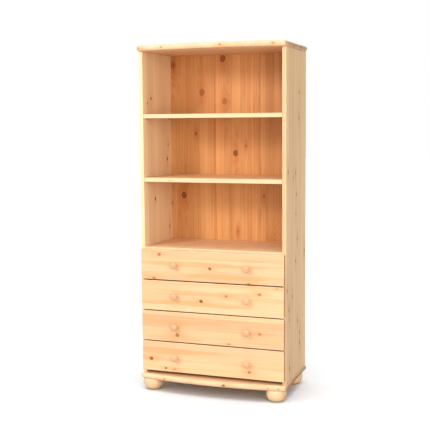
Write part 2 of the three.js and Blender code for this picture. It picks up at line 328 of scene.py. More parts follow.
def figure_group():
    """The grain of glued pine staves: growth rings, fibres, soft bands, glue lines and resin."""
    w, given, result = new_tree(
        "Pine figure",
        "ShaderNodeTree",
        {
            "Grain Place": ("vector", None),
            "Swell": ("float", 0.0),
            "Stave Width": ("float", 0.07),
            "Ring Spacing": ("float", 0.0045),
            "Wander": ("float", 0.03),
            "Seed": ("float", 0.0),
        },
        {
            "Late Wood": ("float", None),
            "Fibre": ("float", None),
            "Band": ("float", None),
            "Stave": ("float", None),
            "Glue Line": ("float", None),
            "Resin": ("float", None),
        },
    )
    along, across, through = w.split(given["Grain Place"])
    lane = w.math("ADD", w.math("DIVIDE", across, given["Stave Width"]), given["Seed"])
    stave = w.math("FLOOR", lane)
    within = w.math("FRACT", lane)
    chance = w.node(
        "ShaderNodeTexWhiteNoise", {"Vector": w.join(stave, given["Seed"], 0.0)}, noise_dimensions="3D"
    )
    first, second, third = w.split(chance.outputs["Color"])
    offset = w.math("MULTIPLY", w.math("SUBTRACT", within, 0.5), given["Stave Width"])
    shifted = w.math("ADD", along, w.math("MULTIPLY", third, 37.0))

    # The pith wanders slowly along the stave, which is what makes the pointed arches of flat-sawn pine.
    wander = w.noise(w.stretched((shifted, stave, offset), (1.5, 1.0, 5.0)), 1.0, 1.5)
    drift_v, drift_w, _ = w.split(wander.outputs["Color"])
    pith_reach = w.math("MULTIPLY", given["Stave Width"], 1.5)
    pith_v = w.math("MULTIPLY", w.math("SUBTRACT", first, 0.5), pith_reach)
    drift = w.math("MULTIPLY", w.math("SUBTRACT", drift_v, 0.5), given["Wander"])
    from_v = w.math("ADD", w.math("SUBTRACT", offset, pith_v), drift)
    depth = w.math("ADD", w.math("PINGPONG", through, 0.04), w.math("MULTIPLY", second, 0.03))
    from_w = w.math("ADD", depth, w.math("MULTIPLY", drift_w, given["Wander"]))
    radius = w.vector("LENGTH", w.join(from_v, from_w, 0.0))
    radius = w.math("ADD", radius, given["Swell"])
    spacing = w.math("MULTIPLY", given["Ring Spacing"], w.math("ADD", 0.6, w.math("MULTIPLY", third, 0.9)))
    ragged = w.noise(w.stretched((along, across, through), (9.0, 120.0, 1.0)), 1.0, 2.0)
    phase = w.math("ADD", w.math("DIVIDE", radius, spacing), w.math("MULTIPLY", ragged.outputs[0], 0.35))
    ring = w.math("FRACT", phase)
    late = w.math("MULTIPLY", w.ramp(ring, 0.25, 0.88), w.ramp(ring, 1.0, 0.92))
    year_place = w.join(w.math("FLOOR", phase), stave, 3.0)
    year = w.node("ShaderNodeTexWhiteNoise", {"Vector": year_place}, noise_dimensions="3D")
    late = w.math("MULTIPLY", late, w.math("ADD", 0.35, w.math("MULTIPLY", year.outputs["Value"], 0.65)))
    w.feed(result["Late Wood"], late)

    fibre_place = w.stretched((along, across, through), (12.0, 700.0, 700.0))
    w.feed(result["Fibre"], w.noise(fibre_place, 1.0, 3.0, 0.6).outputs[0])
    band_place = w.stretched((shifted, across, through), (0.8, 22.0, 20.0))
    band = w.noise(band_place, 1.0, 2.0).outputs[0]
    streak_place = w.stretched((shifted, across, through), (1.6, 48.0, 1.0))
    streak = w.ramp(w.noise(streak_place, 1.0, 2.5).outputs[0], 0.56, 0.62)
    w.feed(result["Band"], w.math("MULTIPLY_ADD", streak, 0.14, band))
    w.feed(result["Stave"], second)
    nearer = w.math("MINIMUM", within, w.math("SUBTRACT", 1.0, within))
    edge = w.math("MULTIPLY", nearer, given["Stave Width"])
    w.feed(result["Glue Line"], w.ramp(edge, 0.0006, 0.0001))
    resin_place = w.stretched((shifted, across, through), (9.0, 240.0, 40.0))
    w.feed(result["Resin"], w.ramp(w.noise(resin_place, 1.0, 1.0).outputs[0], 0.74, 0.80))
    return w.tree


def tone_group():
    """Turns the masks into the wood's colour, roughness and height."""
    w, given, result = new_tree(
        "Pine tone",
        "ShaderNodeTree",
        {
            "Early": ("colour", None),
            "Late": ("colour", None),
            "Knot": ("colour", None),
            "Rim Colour": ("colour", None),
            "Resin Colour": ("colour", None),
            "Late Wood": ("float", 0.0),
            "Fibre": ("float", 0.5),
            "Band": ("float", 0.5),
            "Stave": ("float", 0.5),
            "Glue Line": ("float", 0.0),
            "Resin": ("float", 0.0),
            "Heart": ("float", 0.0),
            "Rim": ("float", 0.0),
            "Halo": ("float", 0.0),
            "Streak": ("float", 0.0),
            "End Grain And Shade": ("float", 0.0),
            "End Tone": ("float", 1.0),
            "Wear": ("float", 0.0),
            "Line Contrast": ("float", 0.4),
            "Band Contrast": ("float", 1.0),
        },
        {"Colour": ("colour", None), "Roughness": ("float", None), "Height": ("float", None)},
    )
    lines = w.math("MULTIPLY", given["Late Wood"], given["Line Contrast"])
    bands = w.math("MULTIPLY", w.math("SUBTRACT", given["Band"], 0.42), given["Band Contrast"])
    banded = w.math("ADD", lines, bands, clamp=True)
    tone = w.blend(banded, given["Early"], given["Late"])
    shade = w.math("ADD", w.math("MULTIPLY", given["Stave"], 0.20), 0.86)
    shade = w.math("MULTIPLY", shade, w.math("ADD", w.math("MULTIPLY", given["Fibre"], 0.16), 0.92))
    tone = w.blend(1.0, tone, w.join(shade, shade, shade), "MULTIPLY")
    # End-grain faces are darkened: partly the real darker end grain, partly painted shade for the end faces
    # that turn away from the light.
    end_grain_and_shade = w.blend(1.0, tone, (0.58, 0.45, 0.33, 1.0), "MULTIPLY")
    tone = w.blend(w.math("MULTIPLY", given["End Grain And Shade"], given["End Tone"]), tone, end_grain_and_shade)
    tone = w.blend(w.math("MULTIPLY", given["Glue Line"], 0.5), tone, given["Resin Colour"])
    tone = w.blend(w.math("MULTIPLY", given["Resin"], 0.45), tone, given["Resin Colour"])
    honey = w.blend(0.95, given["Early"], given["Late"])
    tone = w.blend(given["Streak"], tone, honey)
    tone = w.blend(w.math("MULTIPLY", given["Halo"], 0.6), tone, given["Late"])
    tone = w.blend(w.math("MULTIPLY", given["Heart"], 0.85), tone, given["Knot"])
    tone = w.blend(given["Rim"], tone, given["Rim Colour"])
    rubbed = w.blend(0.5, given["Early"], (1.0, 0.92, 0.75, 1.0))
    tone = w.blend(w.math("MULTIPLY", given["Wear"], 0.35), tone, rubbed)
    w.feed(result["Colour"], tone)
    rough = w.math("ADD", 0.42, w.math("MULTIPLY", given["Late Wood"], -0.05))
    rough = w.math("ADD", rough, w.math("MULTIPLY", given["End Grain And Shade"], 0.22))
    rough = w.math("ADD", rough, w.math("MULTIPLY", given["Fibre"], 0.10))
    w.feed(result["Roughness"], rough)
    raised = w.math("MULTIPLY", given["Late Wood"], 0.35)
    height = w.math("ADD", raised, w.math("MULTIPLY", given["Fibre"], 0.35))
    height = w.math("SUBTRACT", height, w.math("MULTIPLY", given["Glue Line"], 0.6))
    height = w.math("SUBTRACT", height, w.math("MULTIPLY", given["Rim"], 0.4))
    w.feed(result["Height"], height)
    return w.tree


def wear_group():
    """Breaks up the mask of a sanded edge, so that the lacquer looks thinner along it in places."""
    w, given, result = new_tree(
        "Edge wear",
        "ShaderNodeTree",
        {"Place": ("vector", None), "Edge": ("float", 0.0), "Patch Size": ("float", 14.0)},
        {"Wear": ("float", None)},
    )
    patches = w.ramp(w.noise(given["Place"], given["Patch Size"], 3.0).outputs[0], 0.35, 0.62)
    w.feed(result["Wear"], w.math("MULTIPLY", given["Edge"], patches))
    return w.tree


SHARED_GROUPS = {
    "Knot": knot_group,
    "Honey streak": streak_group,
    "Pine figure": figure_group,
    "Pine tone": tone_group,
    "Edge wear": wear_group,
}


def group(wiring, name, inputs):
    """Places a shared group in a tree, building it the first time."""
    tree = bpy.data.node_groups.get(name) or SHARED_GROUPS[name]()
    made = wiring.tree.nodes.new("ShaderNodeGroup")
    made.node_tree = tree
    for key, value in inputs.items():
        wiring.feed(made.inputs[key], value)
    return made.outputs


# ---------------------------------------------------------------------------
# Wood: knots and honey streaks, strewn over the faces of the boards by fixed seeds
# ---------------------------------------------------------------------------

KNOTS_PER_DRAWER = 4
STREAKS_PER_DRAWER = 2
STREAK_SEED = 10  # added to the drawer's number
DARKNESS = (0.5, 1.0)
THROUGH_BOARD = 0.12  # how much shorter a knot looks along the branch that it was
ROUND = 1.0
BOW_DEPTH = 0.033  # how far the bowed edges come back from their middle to their ends


def span(node, axis):
    """The lowest and highest place of a node along one axis."""
    low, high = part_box(node)
    return getattr(low, axis), getattr(high, axis)


def strewn_knots(seed, count, along, across, radii):
    """Knots as (place along the grain, place across it, radius, darkness), anywhere on a face."""
    draw = random.Random(seed)
    limits = (along, across, radii, DARKNESS)
    return [tuple(draw.uniform(*pair) for pair in limits) for _ in range(count)]


def bowed_edge_knots(seed, count, node):
    """Knots on the bowed front edge of the top or the base."""
    low, high = span(node, "x")
    front = span(node, "y")[0]
    flat = strewn_knots(seed, count, (low, high), (front, front), (0.0045, 0.0060))
    bowed = []
    for along, across, radius, dark in flat:
        bowed.append((along, across + BOW_DEPTH * (along / high) ** 2, radius, dark))
    return bowed


def front_knots():
    """A few knots on each drawer front."""
    made = []
    for number in DRAWERS:
        node = f"drawer_{number}_front"
        made += strewn_knots(number, KNOTS_PER_DRAWER, span(node, "x"), span(node, "z"), (0.003, 0.008))
    return made


def front_streaks():
    """Honey streaks as (place along the grain, across it, half length, half height, strength)."""
    made = []
    for number in DRAWERS:
        node = f"drawer_{number}_front"
        draw = random.Random(STREAK_SEED + number)
        limits = (span(node, "x"), span(node, "z"), (0.12, 0.40), (0.010, 0.018), (0.4, 0.7))
        made += [tuple(draw.uniform(*pair) for pair in limits) for _ in range(STREAKS_PER_DRAWER)]
    return made


def face_set(node, through, end, seed, count, axes, radii):
    """The knots of a board's face, which is its lowest (0) or highest (1) place through the board."""
    along, across = (span(node, axis) for axis in axes)
    return span(node, through)[end], THROUGH_BOARD, strewn_knots(seed, count, along, across, radii)


def edge_set(node, seed):
    """The knots of a bowed edge, half way up its board."""
    return sum(span(node, "z")) / 2, ROUND, bowed_edge_knots(seed, 4, node)


FRONT_FACE = span("drawer_1_front", "y")[0]

# Each set is (place through the board, how round the knots are that way, the knots).
KNOT_SETS = {
    "front pine": ((FRONT_FACE, THROUGH_BOARD, front_knots()),),
    "shelf pine": (
        face_set("shelf_fixed", "z", 1, 21, 3, "xy", (0.005, 0.006)),
        edge_set("base_panel", 22),
        edge_set("top_panel", 23),
    ),
    "left side pine": (face_set("side_panel_left", "x", 1, 24, 12, "zy", (0.0045, 0.007)),),
    "right side pine": (face_set("side_panel_right", "x", 1, 25, 18, "zy", (0.005, 0.0085)),),
    "back pine": (face_set("back_panel", "y", 0, 26, 18, "zx", (0.005, 0.014)),),
}

# name: (axes along, across and through the grain; stave width; ring spacing; wander; lines; bands; colours)
PINES = {
    "front pine": ("xzy", 0.062, 0.0065, 0.022, 0.24, 1.40, ("early", "late")),
    "shelf pine": ("xyz", 0.075, 0.0050, 0.040, 0.36, 1.00, ("shelf_early", "shelf_late")),
    # The left and right side pines differ by painted light on the left and painted shade on the right.
    "left side pine": ("zyx", 0.080, 0.0060, 0.020, 0.24, 0.80, ("left_early_painted_light", "left_late_painted_light")),
    "right side pine": ("zyx", 0.080, 0.0060, 0.020, 0.34, 1.00, ("right_early_painted_shade", "right_late_painted_shade")),
    "back pine": ("zxy", 0.048, 0.0065, 0.007, 0.42, 1.20, ("back_early", "back_late")),
    "drawer side pine": ("yzx", 0.090, 0.0045, 0.040, 0.34, 0.96, ("early", "late")),
    "drawer back pine": ("xzy", 0.080, 0.0045, 0.040, 0.34, 0.96, ("early", "late")),
    "turned foot pine": ("xyz", 0.300, 0.0050, 0.040, 0.36, 1.00, ("turned_early", "turned_late")),
    "turned knob pine": ("yxz", 0.300, 0.0040, 0.040, 0.45, 1.20, ("knob_early", "knob_late")),
    "birch plywood": ("xyz", 0.500, 0.0060, 0.060, 0.20, 0.60, ("early", "late")),
    # The runners borrow the left side's colours, which carry painted light.
    "beech": ("yxz", 0.500, 0.0030, 0.020, 0.30, 0.80, ("left_early_painted_light", "left_late_painted_light")),
}


def knots(w, place, name):
    """Chains the knots of one kind of board; gives their swelling of the grain, hearts, rims and halos."""
    so_far = {"Swell": 0.0, "Heart": 0.0, "Rim": 0.0, "Halo": 0.0}
    for through, depth, knot_set in KNOT_SETS.get(name, ()):
        for along, across, radius, dark in knot_set:
            given = {
                "Grain Place": place,
                "Centre": (along, across, through),
                "Depth": depth,
                "Radius": radius,
                "Dark": dark,
            }
            made = group(w, "Knot", {**given, **so_far})
            so_far = {key: made[key] for key in so_far}
    return so_far


def streaks(w, place, name):
    """Chains the honey streaks of the drawer fronts."""
    streak = 0.0
    if name == "front pine":
        for along, across, half_length, half_height, amount in front_streaks():
            given = {
                "Grain Place": place,
                "Centre": (along, across, FRONT_FACE),
                "Half Length": half_length,
                "Half Height": half_height,
                "Amount": amount,
                "Streak": streak,
            }
            streak = group(w, "Honey streak", given)["Streak"]
    return streak


def pine(name):
    """The material of a kind of pine board, made the first time it is asked for."""
    made = bpy.data.materials.get(name)
    if made:
        return made
    axes, stave, spacing, wander, lines, bands, tones = PINES[name]
    wood = bpy.context.scene.bookcase_wood
    made = bpy.data.materials.new(name)
    made.use_nodes = True
    made.diffuse_color = rgba(getattr(wood, tones[0]))
    w = Wiring(made.node_tree)
    shader = made.node_tree.nodes["Principled BSDF"]

    source = w.node("ShaderNodeTexCoord").outputs
    parts = dict(zip("xyz", w.split(source["Object"])))
    place = w.join(*(parts[axis] for axis in axes))
    ripple = w.vector("SUBTRACT", w.noise(place, 70.0, 4.0, 0.6).outputs["Color"], (0.5, 0.5, 0.5))
    knotty = w.vector("ADD", place, w.vector("SCALE", ripple, scale=0.012))
    knotted = knots(w, knotty, name)
    sweep = w.stretched(w.split(place), (7.0, 60.0, 20.0))
    sway = w.vector("SUBTRACT", w.noise(sweep, 1.0, 3.0).outputs["Color"], (0.5, 0.5, 0.5))
    ragged = w.vector("ADD", place, w.vector("MULTIPLY", sway, (0.12, 0.024, 0.0)))
    figure = group(
        w,
        "Pine figure",
        {
            "Grain Place": place,
            "Swell": knotted["Swell"],
            "Stave Width": stave,
            "Ring Spacing": spacing,
            "Wander": wander,
            "Seed": 0.35,
        },
    )
    end_axis = tuple(1.0 if axis == axes[0] else 0.0 for axis in "xyz")
    facing = w.math("ABSOLUTE", w.vector("DOT_PRODUCT", source["Normal"], end_axis))
    edge = w.node("ShaderNodeAttribute", attribute_name="sanded_edge").outputs["Fac"]
    wear = group(w, "Edge wear", {"Place": place, "Edge": edge, "Patch Size": 14.0})["Wear"]
    masks = {key: figure[key] for key in ("Late Wood", "Fibre", "Band", "Stave", "Glue Line", "Resin")}
    tone = group(
        w,
        "Pine tone",
        {
            "Early": rgba(getattr(wood, tones[0])),
            "Late": rgba(getattr(wood, tones[1])),
            "Knot": rgba(wood.knot),
            "Rim Colour": rgba(wood.rim),
            "Resin Colour": rgba(wood.resin),
            "Heart": knotted["Heart"],
            "Rim": knotted["Rim"],
            "Halo": knotted["Halo"],
            "Streak": streaks(w, ragged, name),
            # This mask darkens the colour, partly as real end grain and partly as painted shade, and also
            # roughens the end grain.
            "End Grain And Shade": w.ramp(facing, 0.6, 0.95),
            "End Tone": 0.2 if name.startswith("turned") else 1.0,
            "Wear": wear,
            "Line Contrast": lines,
            "Band Contrast": bands,
            **masks,
        },
    )
    w.feed(shader.inputs["Base Color"], tone["Colour"])
    w.feed(shader.inputs["Roughness"], tone["Roughness"])
    shader.inputs["Specular IOR Level"].default_value = 0.2
    shader.inputs["Coat Weight"].default_value = 0.04
    shader.inputs["Coat Roughness"].default_value = 0.25
    bump = w.node("ShaderNodeBump", {"Height": tone["Height"], "Strength": 0.35, "Distance": 0.0006})
    w.feed(shader.inputs["Normal"], bump.outputs["Normal"])
    return made


def zinc():
    """Zinc-plated steel with fine scratches and slight spangle."""
    made = bpy.data.materials.get("zinc steel")
    if made:
        return made
    made = bpy.data.materials.new("zinc steel")
    made.use_nodes = True
    w = Wiring(made.node_tree)
    shader = made.node_tree.nodes["Principled BSDF"]
    place = w.node("ShaderNodeTexCoord").outputs["Object"]
    spangle = w.noise(place, 600.0, 2.0).outputs[0]
    scratch = w.noise(w.vector("MULTIPLY", place, (300.0, 4000.0, 4000.0)), 1.0, 2.0).outputs[0]
    steel = bpy.context.scene.bookcase_wood.steel
    w.feed(shader.inputs["Base Color"], w.blend(spangle, rgba([0.8 * part for part in steel]), rgba(steel)))
    w.feed(shader.inputs["Roughness"], w.ramp(scratch, 0.3, 0.7, 0.28, 0.42))
    shader.inputs["Metallic"].default_value = 1.0
    bump = w.node("ShaderNodeBump", {"Height": scratch, "Strength": 0.15, "Distance": 0.0002})
    w.feed(shader.inputs["Normal"], bump.outputs["Normal"])
    return made


# ---------------------------------------------------------------------------
# Meshes
# ---------------------------------------------------------------------------


def new_object(name, mesh):
    made = bpy.data.objects.new(name, mesh)
    bpy.context.scene.collection.objects.link(made)
    return made


def finish_piece(piece, material, body, nodes):
    """Gives a finished mesh its wood, its body and the frame pieces that it stands for."""
    piece.data.materials.clear()
    piece.data.materials.append(material)
    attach(piece, body)
    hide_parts(*nodes)
    return piece


def ease_edges(bm, radius, segments):
    """Rounds every outward edge of a board, and marks the rounded faces as sanded."""
    bmesh.ops.recalc_face_normals(bm, faces=bm.faces[:])
    layer = bm.faces.layers.float.new("sanded_edge")
    eased = bmesh.ops.bevel(
        bm,
        geom=[edge for edge in bm.edges if edge.is_convex],
        offset=radius,
        offset_type="OFFSET",
        segments=segments,
        profile=0.5,
        affect="EDGES",
    )
    for face in eased["faces"]:
        face[layer] = 1.0


def mesh_from(bm, name):
    bmesh.ops.recalc_face_normals(bm, faces=bm.faces[:])
    mesh = bpy.data.meshes.new(name)
    bm.to_mesh(mesh)
    bm.free()
    return mesh


def eased_board(name, low, high, radius, segments=3):
    """A board with its edges rounded, between its low and high corners."""
    bm = bmesh.new()
    size = high - low
    middle = (high + low) / 2
    bmesh.ops.create_cube(bm, size=1.0)
    for vert in bm.verts:
        vert.co = Vector(middle[i] + vert.co[i] * size[i] for i in range(3))
    ease_edges(bm, radius, segments)
    return new_object(name, mesh_from(bm, name))


def prism_board(name, section, start, end, radius, segments=2):
    """A board of constant x-z section, running in y from start to end."""
    bm = bmesh.new()
    rings = [[bm.verts.new((x, y, z)) for x, z in section] for y in (start, end)]
    count = len(section)
    for i in range(count):
        j = (i + 1) % count
        bm.faces.new((rings[0][i], rings[0][j], rings[1][j], rings[1][i]))
    bm.faces.new(rings[0])
    bm.faces.new(rings[1])
    ease_edges(bm, radius, segments)
    return new_object(name, mesh_from(bm, name))


# ---------------------------------------------------------------------------
# Geometry Nodes: turned pieces and drilled boards
# ---------------------------------------------------------------------------


def turning_tree():
    """Turns a profile about its axis and sets one at each point, as a lathe's batch would be."""
    w, given, result = new_tree(
        "Turned pieces",
        "GeometryNodeTree",
        {
            "Geometry": ("geometry", None),
            "Profile": ("object", None),
            "Sides": ("int", 64),
            "Turn": ("vector", None),
            "Wood": ("material", None),
        },
        {"Geometry": ("geometry", None)},
    )
    profile = w.node("GeometryNodeObjectInfo", {"Object": given["Profile"]}).outputs["Geometry"]
    size = w.node("GeometryNodeAttributeDomainSize", {"Geometry": profile}, component="MESH")
    steps = size.outputs["Point Count"]
    grid = w.node(
        "GeometryNodeMeshGrid", {"Vertices X": w.math("ADD", given["Sides"], 1), "Vertices Y": steps}
    ).outputs["Mesh"]
    index = w.node("GeometryNodeInputIndex").outputs["Index"]
    column = w.math("FLOOR", w.math("DIVIDE", index, steps))
    row = w.math("SUBTRACT", index, w.math("MULTIPLY", column, steps))
    sample = w.node(
        "GeometryNodeSampleIndex",
        {"Geometry": profile, "Index": row},
        data_type="FLOAT_VECTOR",
        domain="POINT",
    )
    w.feed(sample.inputs["Value"], w.node("GeometryNodeInputPosition").outputs["Position"])
    out, _, up = w.split(sample.outputs["Value"])
    angle = w.math("MULTIPLY", w.math("DIVIDE", column, given["Sides"]), math.tau)
    to_side = w.math("MULTIPLY", out, w.math("COSINE", angle))
    to_back = w.math("MULTIPLY", out, w.math("SINE", angle))
    swept = w.join(to_side, to_back, up)
    shaped = w.node("GeometryNodeSetPosition", {"Geometry": grid, "Position": swept}).outputs["Geometry"]
    merge = w.node("GeometryNodeMergeByDistance", {"Geometry": shaped, "Distance": 0.00001})
    closed = merge.outputs["Geometry"]
    placed = w.node(
        "GeometryNodeInstanceOnPoints",
        {"Points": given["Geometry"], "Instance": closed, "Rotation": given["Turn"]},
    ).outputs["Instances"]
    real = w.node("GeometryNodeRealizeInstances", {"Geometry": placed}).outputs["Geometry"]
    smooth = w.node("GeometryNodeSetShadeSmooth", {"Geometry": real}).outputs["Geometry"]
    dressed = w.node("GeometryNodeSetMaterial", {"Geometry": smooth, "Material": given["Wood"]})
    w.feed(result["Geometry"], dressed.outputs["Geometry"])
    return w.tree


def drilling_tree():
    """Drills a hole at each point of another object into a board, along the x axis."""
    w, given, result = new_tree(
        "Drilled board",
        "GeometryNodeTree",
        {
            "Geometry": ("geometry", None),
            "Places": ("object", None),
            "Radius": ("float", 0.0025),
            "Depth": ("float", 0.010),
            "Wood": ("material", None),
        },
        {"Geometry": ("geometry", None)},
    )
    places = w.node("GeometryNodeObjectInfo", {"Object": given["Places"]}).outputs["Geometry"]
    drill = w.node(
        "GeometryNodeMeshCylinder",
        {"Vertices": 20, "Radius": given["Radius"], "Depth": w.math("MULTIPLY", given["Depth"], 2.0)},
    ).outputs["Mesh"]
    bits = w.node(
        "GeometryNodeInstanceOnPoints",
        {"Points": places, "Instance": drill, "Rotation": (0.0, math.pi / 2, 0.0)},
    ).outputs["Instances"]
    bits = w.node("GeometryNodeRealizeInstances", {"Geometry": bits}).outputs["Geometry"]
    drilled = w.node(
        "GeometryNodeMeshBoolean",
        {"Mesh 1": given["Geometry"], "Mesh 2": bits},
        operation="DIFFERENCE",
    ).outputs["Mesh"]
    real = w.node("GeometryNodeRealizeInstances", {"Geometry": drilled}).outputs["Geometry"]
    w.feed(
        result["Geometry"],
        w.node("GeometryNodeSetMaterial", {"Geometry": real, "Material": given["Wood"]}).outputs["Geometry"],
    )
    return w.tree


GEOMETRY_TREES = {"Turned pieces": turning_tree, "Drilled board": drilling_tree}


def run_tree(name, source, tree_name, values, helpers=()):
    """Runs a geometry tree on an object, and leaves its result as a plain mesh object."""
    tree = bpy.data.node_groups.get(tree_name) or GEOMETRY_TREES[tree_name]()
    modifier = source.modifiers.new(tree_name, "NODES")
    modifier.node_group = tree
    ids = {item.name: item.identifier for item in tree.interface.items_tree if item.in_out == "INPUT"}
    for key, value in values.items():
        modifier[ids[key]] = value
    bpy.context.view_layer.update()
    evaluated = source.evaluated_get(bpy.context.evaluated_depsgraph_get())
    mesh = bpy.data.meshes.new_from_object(evaluated)
    source.modifiers.remove(modifier)
    for spare in (source, *helpers):
        bpy.data.objects.remove(spare)
    if not mesh.polygons:
        raise RuntimeError(f"{tree_name} gave no faces for {name}")
    mesh.name = name
    return new_object(name, mesh)


def points_object(name, points):
    mesh = bpy.data.meshes.new(name)
    mesh.from_pydata([tuple(point) for point in points], [], [])
    return new_object(name, mesh)


def profile_object(name, points):
    """A profile as a line of points, (distance from the axis, height)."""
    mesh = bpy.data.meshes.new(name)
    edges = [(i, i + 1) for i in range(len(points) - 1)]
    mesh.from_pydata([(r, 0.0, z) for r, z in points], edges, [])
    return new_object(name, mesh)


def arc(centre, size, start, end, steps):
    """Points on an ellipse from the start angle to the end angle."""
    points = []
    for i in range(steps + 1):
        angle = start + (end - start) * i / steps
        points.append((centre[0] + size[0] * math.cos(angle), centre[1] + size[1] * math.sin(angle)))
    return points


def turned_pieces(name, profile, places, turn, wood):
    """One mesh of like turned pieces, one at each place."""
    outline = profile_object(name + "_profile", profile)
    stands = points_object(name + "_places", places)
    values = {"Profile": outline, "Turn": turn, "Wood": wood}
    piece = run_tree(name, stands, "Turned pieces", values, [outline])
    face_out(piece.data)
    return piece


def face_out(mesh):
    """Points every face of a closed mesh outwards."""
    bm = bmesh.new()
    bm.from_mesh(mesh)
    bmesh.ops.recalc_face_normals(bm, faces=bm.faces[:])
    bm.to_mesh(mesh)
    bm.free()


def centre_of(node):
    low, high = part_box(node)
    return (low + high) / 2


# ---------------------------------------------------------------------------
# Operators
# ---------------------------------------------------------------------------


class BookcaseOperator:
    """Shared by the operators: undo, and the properties at hand."""

    bl_options = {"REGISTER", "UNDO"}

    @property
    def shape(self):
        return bpy.context.scene.bookcase_shape


class BOOKCASE_OT_slabs(BookcaseOperator, bpy.types.Operator):
    """Make the bowed top and base boards with their rounded edges"""

    bl_idname = "bookcase.slabs"
    bl_label = "Top and base"

    def outline(self, inset):
        """Front and sides of the board in plan, from the back left to the back right corner."""
        shape = self.shape
        low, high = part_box("top_panel")
        half = high.x
        corner = shape.slab_corner
        run = half - corner
        rise = shape.bow_middle - shape.bow_end
        bow = (run**2 + rise**2) / (2 * rise)
        middle_y = low.y + bow
        corner_y = middle_y - math.sqrt((bow - corner) ** 2 - run**2)
        tangent = math.atan2(run, middle_y - corner_y)
        down = -math.pi / 2
        left = arc((-run, corner_y), (corner - inset,) * 2, -math.pi, down - tangent, 14)
        front = arc((0, middle_y), (bow - inset,) * 2, down - tangent, down + tangent, 64)
        right = arc((run, corner_y), (corner - inset,) * 2, down + tangent, 0, 14)
        return [(-half + inset, high.y), *left, *front[1:-1], *right, (half - inset, high.y)]

    def execute(self, context):
        for node, name in (("top_panel", "top_board"), ("base_panel", "base_board")):
            low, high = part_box(node)
            round_off = (high.z - low.z) / 2
            bm = bmesh.new()
            rings = []
            for height, inset in self.edge_profile(round_off):
                level = low.z + round_off + height
                rings.append([bm.verts.new((x, y, level)) for x, y in self.outline(inset)])
            for lower, upper in zip(rings, rings[1:]):
                for i in range(len(lower) - 1):
                    strip = bm.faces.new((lower[i], lower[i + 1], upper[i + 1], upper[i]))
                    strip.smooth = True
            bm.faces.new(rings[0])
            bm.faces.new(rings[-1])
            ends = [ring[0] for ring in rings] + [ring[-1] for ring in reversed(rings)]
            bm.faces.new(ends)
            layer = bm.faces.layers.float.new("sanded_edge")
            for face in bm.faces:
                face[layer] = 0.6 if face.smooth else 0.0
            board = new_object(name, mesh_from(bm, name))
            finish_piece(board, pine("shelf pine"), "carcass", [node])
        return {"FINISHED"}

    def edge_profile(self, round_off, steps=14):
        """Heights and insets round the half circle of the edge, from the bottom to the top."""
        half = steps / 2
        for i in range(steps + 1):
            angle = math.pi / 2 * (i - half) / half
            yield round_off * math.sin(angle), round_off * (1 - math.cos(angle))


class BOOKCASE_OT_sides(BookcaseOperator, bpy.types.Operator):
    """Make the two side panels, rebated for the back and drilled for the shelf pins"""

    bl_idname = "bookcase.sides"
    bl_label = "Side panels"

    def execute(self, context):
        back_low, back_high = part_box("back_panel")
        for side in SIDES:
            sign = -1 if side == "left" else 1
            node = f"side_panel_{side}"
            low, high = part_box(node)
            inner = high.x if side == "left" else low.x
            outer = low.x if side == "left" else high.x
            rebate_x = sign * (back_high.x + 0.0003)
            rebate_y = back_low.y - 0.0003
            section = [
                (inner, low.y),
                (outer, low.y),
                (outer, high.y),
                (rebate_x, high.y),
                (rebate_x, rebate_y),
                (inner, rebate_y),
            ]
            blank = self.upright(f"side_blank_{side}", section, low.z, high.z)
            holes = points_object(f"pin_holes_{side}", self.hole_places(side, inner))
            # Each side gets its own pine: the left with painted light, the right with painted shade.
            wood = pine(side + " side pine")
            values = {"Places": holes, "Radius": self.shape.pin_hole, "Depth": 0.010, "Wood": wood}
            board = run_tree(f"side_board_{side}", blank, "Drilled board", values, [holes])
            finish_piece(board, wood, "carcass", [node])
        return {"FINISHED"}

    def upright(self, name, section, bottom, top):
        bm = bmesh.new()
        rings = [[bm.verts.new((x, y, z)) for x, y in section] for z in (bottom, top)]
        count = len(section)
        for i in range(count):
            j = (i + 1) % count
            bm.faces.new((rings[0][i], rings[0][j], rings[1][j], rings[1][i]))
        bm.faces.new(rings[0])
        bm.faces.new(rings[1])
        ease_edges(bm, self.shape.board_ease, 3)
        return new_object(name, mesh_from(bm, name))

    def hole_places(self, side, inner):
        for level in SHELVES:
            for end in ENDS:
                pin = centre_of(f"shelf_pin_{level}_{end}_{side}")
                for step in range(-2, 3):
                    yield (inner, pin.y, pin.z + step * self.shape.pin_pitch)


class BOOKCASE_OT_back(BookcaseOperator, bpy.types.Operator):
    """Make the thin back panel"""

    bl_idname = "bookcase.back"
    bl_label = "Back panel"

    def execute(self, context):
        board = eased_board("back_board", *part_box("back_panel"), 0.0008, 2)
        finish_piece(board, pine("back pine"), "carcass", ["back_panel"])
        return {"FINISHED"}


class BOOKCASE_OT_shelves(BookcaseOperator, bpy.types.Operator):
    """Make the fixed shelf and the two adjustable shelves"""

    bl_idname = "bookcase.shelves"
    bl_label = "Shelves"

    def execute(self, context):
        bodies = {"shelf_fixed": "carcass", "shelf_lower": "shelf_lower", "shelf_upper": "shelf_upper"}
        for node, body in bodies.items():
            board = eased_board(f"{node}_board", *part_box(node), self.shape.board_ease)
            finish_piece(board, pine("shelf pine"), body, [node])
        return {"FINISHED"}


